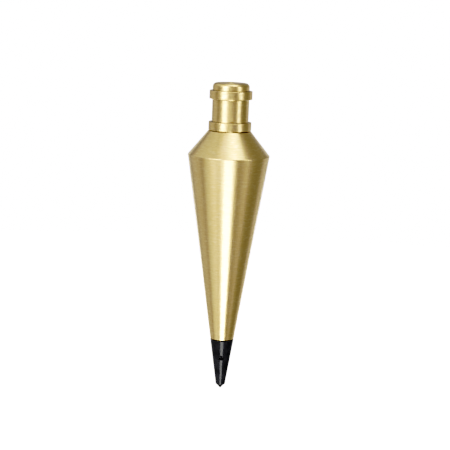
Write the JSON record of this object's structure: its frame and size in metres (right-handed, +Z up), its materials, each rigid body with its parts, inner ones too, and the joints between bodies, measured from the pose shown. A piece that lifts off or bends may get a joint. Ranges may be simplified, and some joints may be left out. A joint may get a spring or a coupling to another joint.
{
  "type": "plumb bob",
  "caption": "Turned brass plumb bob: a double-cone body, a screw cap with a central line hole and a replaceable blackened steel point.",
  "frame": {"origin": "middle of the line hole's mouth, on the flat top of the screw cap", "axes": "+Z up along the bob's axis, from the tip towards the line; the steel point's cross hole runs along Y"},
  "size_m": [0.0366, 0.0366, 0.14],
  "materials": {
    "brass": "turned and polished, fine lathe marks",
    "black_steel": "black oxide, satin"
  },
  "bodies": {
    "cap": {"screw_cap": "brass"},
    "bob": {"brass_body": "brass"},
    "point": {"steel_point": "black_steel"}
  },
  "joints": [
    {"name": "cap_unscrew", "type": "slide", "parent": "cap", "child": "bob", "axis": [0, 0, -1], "range_m": [0, 0.014]},
    {"name": "point_unscrew", "type": "slide", "parent": "bob", "child": "point", "axis": [0, 0, -1], "range_m": [0, 0.012]}
  ]
}
